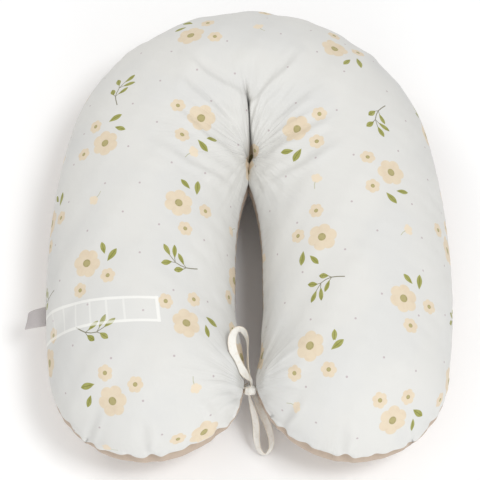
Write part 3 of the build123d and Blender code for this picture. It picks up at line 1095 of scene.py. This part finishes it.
def makeInsert():
    keepRows = thinned(len(rows))
    keepColumns = thinned(len(across))
    fillings = []
    grids = ((upperBase, upperNormal, upperShape), (lowerBase, lowerNormal, lowerShape))
    for depth in (insert["depth"], insert["fillingDepth"]):
        layers = []
        for base, normals, shape in grids:
            layer = shellInside(base, normals, shape, depth)[np.ix_(keepRows, keepColumns)]
            layers.append(layer)
        rim = (layers[0] + layers[1]) / 2
        for layer in layers:
            layer[0] = rim[0]
            layer[-1] = rim[-1]
            layer[:, 0] = rim[:, 0]
            layer[:, -1] = rim[:, -1]
        fillings.append(layers)
    casing, casingSignal, casingSurface = startMaterial("casingCloth", roughness=0.95)
    place = casingSignal.node("ShaderNodeTexCoord", output=3)
    base = plainColour(casingSignal, 236, 232, 222)
    tone = noise(casingSignal, place, 40) * 0.5
    paint(casingSignal, casingSurface, base.mixTo(colour(226, 222, 212), tone))
    for layer, name, flipped, node in (
        (fillings[0][0], "insertUpperPanel", False, "insert_upper_panel"),
        (fillings[0][1], "insertLowerPanel", True, "insert_lower_panel"),
    ):
        faces = gridFaces(*layer.shape[:2], flipped)
        piece = meshPiece(name, layer.reshape(-1, 3), faces, casing)
        solid = piece.modifiers.new("thickness", "SOLIDIFY")
        solid.thickness = insert["cloth"]
        solid.offset = -1
        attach(piece, "root")
        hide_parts(node)
    fibre, fibreSignal, fibreSurface = startMaterial("fibreFill", roughness=1.0)
    place = fibreSignal.node("ShaderNodeTexCoord", output=3)
    base = plainColour(fibreSignal, 244, 244, 240)
    paint(fibreSignal, fibreSurface, base.mixTo(colour(232, 232, 228), noise(fibreSignal, place, 90, 4.0)))
    bumpFrom(fibreSignal, fibreSurface, noise(fibreSignal, place, 160, 5.0), 0.003, 0.7)
    vertices, faces, unusedIndex, unusedLower = joinSeams(*fillings[1])
    filling = meshPiece("fibreFilling", vertices, faces, fibre)
    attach(filling, "root")
    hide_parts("filling")


makeInsert()
print("inner cushion made")


def makeCareLabel():
    # a satin strip just under the upper cover of the left leg
    material, signal, surface = startMaterial("satinStrip", roughness=0.45)
    place = signal.node("ShaderNodeTexCoord", output=3)
    base = plainColour(signal, 246, 244, 238)
    paint(signal, surface, base.mixTo(colour(236, 234, 228), noise(signal, place, 60) * 0.5))
    coordinates = careCoordinates(upperBase.reshape(-1, 3)).reshape(*upperBase.shape[:2], 2)
    leftRows = [number for number in range(len(rows) // 2) if rows[number][2] == 0]
    wantedAside = np.linspace(-careStrip["halfWidth"], careStrip["halfWidth"], 7)
    inside = upperShape - upperNormal * 0.0018
    strip = []
    for column in range(len(across) - 1, -1, -1):
        aside = coordinates[leftRows, column, 1]
        along = coordinates[leftRows[len(leftRows) // 2], column, 0]
        if along < 0.002 or along > careStrip["length"]:
            continue
        order = np.argsort(aside)
        points = inside[leftRows, column][order]
        line = [np.interp(wantedAside, aside[order], points[:, a]) for a in range(3)]
        strip.append(np.stack(line, axis=1))
    strip = np.array(strip)
    piece = meshPiece("careLabel", strip.reshape(-1, 3), gridFaces(*strip.shape[:2], False), material)
    solid = piece.modifiers.new("thickness", "SOLIDIFY")
    solid.thickness = 0.0004
    solid.offset = 0
    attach(piece, "root")
    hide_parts("care_label")
    return piece


makeCareLabel()
print("care label made")

# ---- repeats along a path, such as stitches and zip teeth


def pathMesh(name, paths):
    # open chains of points with their own upward direction
    vertices = []
    edges = []
    ups = []
    for points, normals in paths:
        start = len(vertices)
        vertices.extend([tuple(p) for p in points])
        ups.extend(np.asarray(normals).tolist())
        edges.extend([(start + i, start + i + 1) for i in range(len(points) - 1)])
    mesh = bpy.data.meshes.new(name)
    mesh.from_pydata(vertices, edges, [])
    up = mesh.attributes.new("upward", "FLOAT_VECTOR", "POINT")
    up.data.foreach_set("vector", np.array(ups, dtype=np.float32).ravel())
    made = bpy.data.objects.new(name, mesh)
    bpy.context.scene.collection.objects.link(made)
    return made


def repeatTree(name, material):
    tree = bpy.data.node_groups.new(name, "GeometryNodeTree")
    tree.interface.new_socket("Path", in_out="INPUT", socket_type="NodeSocketGeometry")
    sizes = {}
    for label, value in (("Pitch", 0.002), ("Length", 0.001), ("Depth", 0.001), ("Height", 0.001)):
        socket = tree.interface.new_socket(label, in_out="INPUT", socket_type="NodeSocketFloat")
        socket.default_value = value
        sizes[label] = socket.identifier
    tree.interface.new_socket("Pieces", in_out="OUTPUT", socket_type="NodeSocketGeometry")
    signal = Signal(tree)
    inputs = tree.nodes.new("NodeGroupInput")
    given = {socket.name: Signal(tree, socket) for socket in inputs.outputs if socket.name}
    curve = signal.node("GeometryNodeMeshToCurve", {}, {0: given["Path"]})
    resample = signal.node(
        "GeometryNodeResampleCurve", {"mode": "LENGTH"}, {0: curve, "Length": given["Pitch"]}
    )
    tangent = signal.node("GeometryNodeInputTangent")
    upward = signal.node("GeometryNodeInputNamedAttribute", {"data_type": "FLOAT_VECTOR"}, {0: "upward"})
    turned = signal.node("FunctionNodeAlignRotationToVector", {"axis": "X"}, {"Vector": tangent})
    turned = signal.node(
        "FunctionNodeAlignRotationToVector", {"axis": "Z", "pivot_axis": "X"},
        {"Rotation": turned, "Vector": upward},
    )
    ball = signal.node("GeometryNodeMeshUVSphere", {}, {"Segments": 8, "Rings": 6, "Radius": 0.5})
    size = signal.node(
        "ShaderNodeCombineXYZ", {}, {0: given["Length"], 1: given["Depth"], 2: given["Height"]}
    )
    placed = signal.node(
        "GeometryNodeInstanceOnPoints", {},
        {"Points": resample, "Instance": ball, "Rotation": turned, "Scale": size},
    )
    real = signal.node("GeometryNodeRealizeInstances", {}, {0: placed})
    coated = signal.node("GeometryNodeSetMaterial", {}, {0: real, "Material": material})
    output = tree.nodes.new("NodeGroupOutput")
    tree.links.new(coated.socket, output.inputs[0])
    return tree, sizes


def repeatAlong(name, paths, material, pitch, length, depth, height):
    source = pathMesh(name + "Path", paths)
    tree, sizes = repeatTree(name + "Repeat", material)
    modifier = source.modifiers.new("repeat", "NODES")
    modifier.node_group = tree
    for label, value in (("Pitch", pitch), ("Length", length), ("Depth", depth), ("Height", height)):
        modifier[sizes[label]] = value
    source.update_tag()
    graph = bpy.context.evaluated_depsgraph_get()
    mesh = bpy.data.meshes.new_from_object(source.evaluated_get(graph))
    bpy.data.objects.remove(source)
    made = bpy.data.objects.new(name, mesh)
    mesh.name = name
    bpy.context.scene.collection.objects.link(made)
    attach(made, "root")
    return made


# ---- the zip along the back of the arch

def zipArc(radius, height, count=400):
    angles = np.linspace(-zipper["halfAngle"], zipper["halfAngle"], count)
    outward = headingAt(angles)
    points = np.column_stack([archPoint + outward * radius, np.full(count, seamZ + height)])
    return points, np.column_stack([outward, np.zeros(count)])


def threadMaterial(name, shade):
    material, signal, surface = startMaterial(name, roughness=0.7)
    place = signal.node("ShaderNodeTexCoord", output=3)
    base = signal.node("ShaderNodeRGB")
    base.socket.default_value = shade
    paint(signal, surface, base.mixTo(colour(150, 145, 135), noise(signal, place, 900) * 0.25))
    return material


def makeZip():
    coil, unusedSignal, coilSurface = startMaterial("zipCoil", roughness=0.38)
    coilSurface.inputs["Base Color"].default_value = colour(238, 234, 226)
    for side, label in ((1, "Upper"), (-1, "Lower")):
        points, outward = zipArc(zipper["toothRadius"], side * 0.0018)
        teeth = repeatAlong(
            "zipTeeth" + label, [(points, outward * [1, 1, 0] + [0, 0, 0.12 * side])], coil,
            zipper["toothPitch"], zipper["toothLength"], zipper["toothHeight"], zipper["toothDepth"],
        )
        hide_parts("zip_teeth_" + label.lower())
    tape, tapeSignal, tapeSurface = startMaterial("zipTape", roughness=0.88)
    place = tapeSignal.node("ShaderNodeTexCoord", output=3)
    base = plainColour(tapeSignal, 233, 229, 221)
    z = place.split()[2]
    ribs = tapeSignal.maths("SINE", z * 7800.0) * 0.5 + 0.5
    paint(tapeSignal, tapeSurface, base.mixTo(colour(214, 209, 199), ribs * 0.5))
    bumpFrom(tapeSignal, tapeSurface, ribs, 0.0003, 0.6)
    for node in ("zip_tape_upper", "zip_tape_lower"):
        clothe(node, tape)
    metal, metalSignal, metalSurface = startMaterial("zipMetal", roughness=0.3, Metallic=1.0)
    place = metalSignal.node("ShaderNodeTexCoord", output=3)
    worn = noise(metalSignal, place, 300, 3.0)
    metalSurface.inputs["Base Color"].default_value = colour(196, 194, 190)
    metalSignal.tree.links.new((worn * 0.16 + 0.24).socket, metalSurface.inputs["Roughness"])
    for node in ("zip_bottom_stop", "zip_top_stops", "zip_slider", "zip_pull"):
        clothe(node, metal)
    stitchThread = threadMaterial("whiteThread", colour(236, 234, 228))
    edges = []
    for grid, normals in ((upperShape, upperNormal), (lowerShape, lowerNormal)):
        drawn = drawBackAtZip(grid)
        zipRows = [n for n, row in enumerate(rows) if row[2] == 0 and abs(row[1]) < math.radians(46)]
        line = []
        up = []
        for number in zipRows:
            steps = np.linalg.norm(np.diff(drawn[number], axis=0), axis=1)
            travelled = np.concatenate([[0], np.cumsum(steps)])
            at = travelled[-1] - 0.0032
            line.append([np.interp(at, travelled, drawn[number, :, a]) for a in range(3)])
            up.append([np.interp(at, travelled, normals[number, :, a]) for a in range(3)])
        line = np.array(line)
        up = np.array(up)
        up = up / np.linalg.norm(up, axis=1, keepdims=True)
        edges.append((line + up * 0.0001, up))
    stitches = repeatAlong(
        "zipStitches", edges, stitchThread, zipper["stitchPitch"], zipper["stitchLength"], 0.0006, 0.0005
    )


def clothe(node, material):
    piece = frame["nodes"][node]
    piece.data.materials.clear()
    piece.data.materials.append(material)


makeZip()
print("zip made")

# ---- the woven side label, a folded loop that droops from the left leg's seam

sideLabel = {"width": 0.028, "reach": 0.031, "ply": 0.00035, "gap": 0.0006, "droop": 8, "curl": 25}


def makeSideLabel():
    hinge = np.array(joints["label_flap"]["pos_m"])
    axis = np.array(joints["label_flap"]["axis"])
    outward = np.array([axis[1], -axis[0], 0.0])
    lengths = np.linspace(0, 1, 19)
    widths = np.linspace(-1, 1, 13)

    def sheetAt(offset):
        grid = np.zeros((len(lengths), len(widths), 3))
        for column, t in enumerate(widths):
            point = hinge.copy()
            previous = 0.0
            lean = 0.80 - 0.35 * t    # the far edge curls down more than the near one
            for row, s in enumerate(lengths):
                angle = math.radians(sideLabel["droop"] + sideLabel["curl"] * s * lean * 1.5)
                step = (s - previous) * sideLabel["reach"]
                previous = s
                point = point + step * (outward * math.cos(angle) - np.array([0, 0, 1]) * math.sin(angle))
                normal = outward * math.sin(angle) + np.array([0, 0, 1]) * math.cos(angle)
                ripple = 0.0007 * math.sin(5.0 * s + 2.0 * t) * s
                half = sideLabel["width"] / 2 * (1 - 0.06 * s)
                grid[row, column] = point + axis * t * half + normal * (offset + ripple)
        return grid

    half = (sideLabel["ply"] + sideLabel["gap"]) / 2
    top = sheetAt(half)
    bottom = sheetAt(-half)
    bend = []
    for angle in np.linspace(0, math.pi, 7)[1:-1]:
        middle = (top[-1] + bottom[-1]) / 2
        up = top[-1] - middle
        ahead = top[-1] - top[-2]
        ahead = ahead / np.linalg.norm(ahead, axis=1, keepdims=True)
        bend.append(middle + up * math.cos(angle) + ahead * half * math.sin(angle))
    loop = np.concatenate([top, np.array(bend), bottom[::-1]])
    material, signal, surface = startMaterial("wovenLabel", roughness=0.8)
    u, v, unused = signal.node("ShaderNodeUVMap", {"uv_map": "weave"}).split()
    warp = signal.maths("SINE", u * 520.0) * signal.maths("SINE", v * 420.0)
    base = plainColour(signal, 196, 190, 189)
    border = (abs(v - 0.5).rise(0.455, 0.475)).larger(0.0)
    shade = base.mixTo(colour(180, 174, 174), warp * 0.4 + 0.4).mixTo(colour(206, 200, 198), border * 0.6)
    paint(signal, surface, shade)
    bumpFrom(signal, surface, warp * 0.5 + 0.5, 0.0002, 0.5)
    piece = meshPiece("sideLabel", loop.reshape(-1, 3), gridFaces(*loop.shape[:2], False), material)
    faces = gridFaces(*loop.shape[:2], False)
    run = np.linspace(0, 1, loop.shape[0])[:, None] * np.ones((1, loop.shape[1]))
    aside = np.linspace(0, 1, loop.shape[1])[None, :] * np.ones((loop.shape[0], 1))
    cornerLayer(piece, "weave", np.stack([run, aside], axis=-1).reshape(-1, 2)[faces])
    solid = piece.modifiers.new("thickness", "SOLIDIFY")
    solid.thickness = sideLabel["ply"]
    solid.offset = 0
    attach(piece, "side_label")
    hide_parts("side_label")
    return piece


makeSideLabel()
print("side label made")

# ---- the ribbon ties and their bow

ribbon = {
    "width": 0.0115,
    "thickness": 0.0009,
    "knotWidth": 0.45,      # of the full width, where the knot gathers it
    "view": math.radians(64),
    "clear": 0.0009,
    "leftRoute": [
        (-9, -246, 94), (-2.5, -249, 95), (4, -246, 96), (3, -239, 104), (-5, -236, 117),
        (-13, -230, 133), (-21, -218, 148), (-24, -201, 156), (-18, -188, 156), (-9, -184, 150),
        (-3, -193, 141), (-3, -208, 130), (-2, -223, 117), (0, -236, 104), (1, -245, 92),
        (-2, -246, 83), (-4, -241, 73), (-4, -235, 63), (-3, -229, 52),
    ],
    "leftTurns": [(0, 60), (0.12, 60), (0.20, 15), (0.36, 8), (0.50, 50), (0.58, 86), (0.72, 78),
                  (0.80, 70), (0.88, 60), (1, 60)],
    "rightRoute": [
        (9.4, -250, 89), (4, -247, 88), (-2, -250, 87), (1, -259, 81), (6, -270, 71),
        (9, -285, 54), (10, -299, 34), (13, -310, 15), (22, -314, 6), (30, -306, 14),
        (31, -296, 31), (25, -284, 49), (17, -271, 65), (10, -259, 77), (4, -249, 83),
        (3, -243, 75), (4, -237, 65), (4, -231, 54),
    ],
    "rightTurns": [(0, 60), (0.10, 55), (0.20, 36), (0.34, 44), (0.47, 62), (0.56, 50), (0.68, 34),
                   (0.78, 40), (0.88, 55), (1, 60)],
}


def routeLine(name, route):
    curve = bpy.data.curves.new(name, "CURVE")
    curve.dimensions = "3D"
    curve.resolution_u = 12
    spline = curve.splines.new("NURBS")
    spline.points.add(len(route) - 1)
    for point, (x, y, z) in zip(spline.points, route):
        point.co = (x / 1000 + middleX, y / 1000, z / 1000, 1)
    spline.order_u = 3
    spline.use_endpoint_u = True
    holder = bpy.data.objects.new(name, curve)
    bpy.context.scene.collection.objects.link(holder)
    graph = bpy.context.evaluated_depsgraph_get()
    mesh = bpy.data.meshes.new_from_object(holder.evaluated_get(graph))
    line = np.array([tuple(vertex.co) for vertex in mesh.vertices])
    bpy.data.objects.remove(holder)
    bpy.data.meshes.remove(mesh)
    steps = np.linalg.norm(np.diff(line, axis=0), axis=1)
    travelled = np.concatenate([[0], np.cumsum(steps)])
    wanted = np.linspace(0, travelled[-1], 150)
    return np.stack([np.interp(wanted, travelled, line[:, a]) for a in range(3)], axis=1)


bowKnot = {"place": np.array([0.001 + middleX, -0.248, 0.090]), "halfLength": 0.0089, "radius": 0.0067}


def ribbonMaterial():
    material, signal, surface = startMaterial("printedRibbon", roughness=0.9)
    u, v, unused = signal.node("ShaderNodeUVMap", {"uv_map": "ribbon"}).split()
    place = signal.node("ShaderNodeTexCoord", output=3)
    base = plainColour(signal, 238, 235, 228)
    # painted shade: the ribbon turns darker, warm beige, towards both long edges, standing in for the shade
    # where the cloth turns away
    edge = abs(v).rise(0.74, 0.97)
    shade = base.mixTo(colour(216, 200, 176), edge * 0.7)
    shade = shade.mixTo(colour(224, 214, 196), noise(signal, place, 120, 2.0).rise(0.5, 0.7) * 0.45)
    cell = signal.node("ShaderNodeCombineXYZ", {}, {0: u, 1: v * 0.006, 2: 0.0})
    specks = signal.node("ShaderNodeTexVoronoi", {}, {"Vector": cell, "Scale": 62.0})
    shade = shade.mixTo(colour(182, 160, 156), (1 - specks.rise(0.055, 0.085)) * 0.8)
    paint(signal, surface, shade)
    weave = signal.maths("SINE", u * 7000.0) * signal.maths("SINE", v * 42.0)
    bumpFrom(signal, surface, weave * 0.4 + noise(signal, place, 300, 2.0), 0.0003, 0.6)
    return material


def makeRibbon(name, route, turns, material, coverTree):
    line = routeLine(name + "Line", route)
    tangent = np.gradient(line, axis=0)
    tangent = tangent / np.linalg.norm(tangent, axis=1, keepdims=True)
    viewer = np.array([0, -math.cos(ribbon["view"]), math.sin(ribbon["view"])])
    share = np.linspace(0, 1, len(line))
    turn = np.radians(np.interp(share, [t[0] for t in turns], [t[1] for t in turns]))
    flatWay = np.cross(tangent, viewer)
    length = np.linalg.norm(flatWay, axis=1, keepdims=True)
    flatWay = flatWay / np.maximum(length, 1e-6)
    for number in range(1, len(line)):
        if flatWay[number] @ flatWay[number - 1] < 0:
            flatWay[number] = -flatWay[number]
    widthWay = flatWay * np.cos(turn)[:, None] + np.cross(tangent, flatWay) * np.sin(turn)[:, None]
    for smoothing in range(6):
        widthWay[1:-1] = (widthWay[:-2] + 2 * widthWay[1:-1] + widthWay[2:]) / 4
    widthWay -= tangent * (widthWay * tangent).sum(axis=1, keepdims=True)
    widthWay = widthWay / np.linalg.norm(widthWay, axis=1, keepdims=True)
    faceWay = np.cross(tangent, widthWay)
    fromKnot = np.linalg.norm(line - bowKnot["place"], axis=1)
    opened = smoothStep(fromKnot, 0.007, 0.030)
    half = ribbon["width"] / 2 * (ribbon["knotWidth"] + (1 - ribbon["knotWidth"]) * opened)
    thick = ribbon["thickness"] / 2
    across = np.linspace(-1, 1, 13)
    camber = 0.10 * (1 - across**2)
    middle = line[:, None, :] + widthWay[:, None, :] * (half[:, None] * across)[..., None]
    ripple = 0.0005 * np.sin(share * 34)[:, None] * across[None, :] ** 2
    middle += faceWay[:, None, :] * ((half[:, None] * camber[None, :]) + ripple)[..., None]
    # lay the ribbon on the cover instead of through it
    for row in range(len(line)):
        if fromKnot[row] < 0.006:
            continue
        for column in range(len(across)):
            point = middle[row, column]
            hit, normal, index, distance = coverTree.find_nearest(Vector(point))
            if hit is None:
                continue
            gap = (Vector(point) - hit).dot(normal)
            if gap < ribbon["clear"]:
                middle[row, column] = point + np.array(normal) * (ribbon["clear"] - gap)
    for smoothing in range(2):
        middle[1:-1] = (middle[:-2] + 2 * middle[1:-1] + middle[2:]) / 4
    top = middle + faceWay[:, None, :] * thick
    bottom = middle - faceWay[:, None, :] * thick
    ring = np.concatenate([top, bottom[:, ::-1]], axis=1)
    count = ring.shape[1]
    vertices = ring.reshape(-1, 3)
    faces = ringFaces(len(line), count)
    acrossCount = len(across)
    for row, flip in ((0, True), (len(line) - 1, False)):
        for column in range(acrossCount - 1):
            corner = row * count
            cap = (corner + column, corner + column + 1,
                   corner + count - 2 - column, corner + count - 1 - column)
            faces.append(cap[::-1] if flip else cap)
    piece = meshPiece(name, vertices, faces, material)
    steps = np.linalg.norm(np.diff(line, axis=0), axis=1)
    travelled = np.concatenate([[0], np.cumsum(steps)])
    sideways = np.concatenate([across, across[::-1]])
    layout = np.stack([np.repeat(travelled, count), np.tile(sideways, len(line))], axis=1)
    corners = np.array([layout[loop.vertex_index] for loop in piece.data.loops])
    cornerLayer(piece, "ribbon", corners)
    fixNormals(piece)
    smoothOnce(piece)
    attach(piece, "root")
    print(name, "length", round(float(travelled[-1]), 4))
    return piece, line, float(travelled[-1])


def fixNormals(piece):
    work = bmesh.new()
    work.from_mesh(piece.data)
    bmesh.ops.recalc_face_normals(work, faces=work.faces)
    work.to_mesh(piece.data)
    work.free()


def makeKnot(material):
    # the band wrapped round the crossing: a short barrel lying across, with its folds round it
    lengths = np.linspace(-1, 1, 25)
    turns = np.linspace(0, 2 * math.pi, 33)[:-1]
    grid = np.zeros((len(lengths), len(turns), 3))
    for row, s in enumerate(lengths):
        size = bowKnot["radius"] * max(1 - abs(s) ** 3.2, 0.0) ** 0.5 + 0.0004
        size = size * (1 + 0.07 * math.cos(s * 7.5 + 0.8))
        for column, angle in enumerate(turns):
            wrinkle = 1 + 0.035 * math.sin(3 * angle + 4 * s) + 0.02 * math.sin(7 * angle - 9 * s)
            grid[row, column] = bowKnot["place"] + np.array([
                s * bowKnot["halfLength"] + 0.0006 * math.sin(angle),
                math.cos(angle) * size * 0.95 * wrinkle,
                math.sin(angle) * size * 1.12 * wrinkle + 0.0004 * s,
            ])
    count = len(turns)
    faces = ringFaces(len(lengths), count)
    faces.append(tuple(range(count))[::-1])
    faces.append(tuple((len(lengths) - 1) * count + i for i in range(count)))
    piece = meshPiece("bowKnot", grid.reshape(-1, 3), faces, material)
    layout = []
    for loop in piece.data.loops:
        row, column = divmod(loop.vertex_index, count)
        layout.append((column / count * 0.038, lengths[row]))
    cornerLayer(piece, "ribbon", np.array(layout))
    fixNormals(piece)
    smoothOnce(piece)
    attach(piece, "root")
    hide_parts("bow_knot")
    return piece


def coverSearch():
    vertices, faces, unusedIndex, unusedLower = joinSeams(upperShape, lowerShape)
    return BVHTree.FromPolygons([tuple(v) for v in vertices], [tuple(int(i) for i in f) for f in faces])


def makeBow():
    material = ribbonMaterial()
    tree = coverSearch()
    knot = makeKnot(material)
    for side in ("left", "right"):
        piece, line, length = makeRibbon(
            "tie" + side.capitalize(), ribbon[side + "Route"], ribbon[side + "Turns"], material, tree
        )
        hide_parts("tie_" + side)


makeBow()
print("bow made")

# ---- room, light and camera

studio = {
    "floor": colour(255, 255, 255),
    "worldStrength": 0.62,
    "keyPower": 19.0,
    "sidePower": 7.5,
    "frontPower": 10.0,
    "elevation": math.radians(64),
    "distance": 1.8,
    "lens": 90.2,
}


def addFloor():
    size = 4.0
    material, signal, surface = startMaterial("paleFloor", roughness=0.95)
    place = signal.node("ShaderNodeTexCoord", output=3)
    base = signal.node("ShaderNodeRGB")
    base.socket.default_value = studio["floor"]
    paint(signal, surface, base.mixTo(colour(250, 250, 250), noise(signal, place, 3) * 0.3))
    corners = [(-size, -size, 0), (size, -size, 0), (size, size, 0), (-size, size, 0)]
    floor = meshPiece("floor", corners, [(0, 1, 2, 3)], material)


def addLight(name, place, target, size, power, tint):
    data = bpy.data.lights.new(name, "AREA")
    data.energy = power
    data.size = size
    data.color = tint
    light = bpy.data.objects.new(name, data)
    light.location = place
    light.rotation_euler = (Vector(target) - Vector(place)).to_track_quat("-Z", "Y").to_euler()
    bpy.context.scene.collection.objects.link(light)


def addCamera():
    elevation = studio["elevation"]
    distance = studio["distance"]
    target = Vector((middleX - 0.0125, 0.0185, 0))
    data = bpy.data.cameras.new("camera")
    data.sensor_width = 36
    data.lens = studio["lens"]
    camera = bpy.data.objects.new("camera", data)
    camera.location = target + distance * Vector((0, -math.cos(elevation), math.sin(elevation)))
    camera.rotation_euler = (target - camera.location).to_track_quat("-Z", "Y").to_euler()
    bpy.context.scene.collection.objects.link(camera)
    bpy.context.scene.camera = camera


addFloor()
addLight("key", (0.8, -0.5, 2.2), (0, 0, 0.1), 0.6, studio["keyPower"], (0.98, 0.99, 1.0))
addLight("side", (-1.2, 0.9, 1.6), (0, 0, 0.15), 0.8, studio["sidePower"], (1.0, 0.985, 0.95))
addLight("front", (0.2, -2.1, 0.9), (0, 0, 0.1), 1.0, studio["frontPower"], (0.97, 0.985, 1.0))
addCamera()
world = bpy.data.worlds.new("room")
world.use_nodes = True
world.node_tree.nodes["Background"].inputs["Color"].default_value = (1, 1, 1, 1)
world.node_tree.nodes["Background"].inputs["Strength"].default_value = studio["worldStrength"]
bpy.context.scene.world = world
print("studio set")
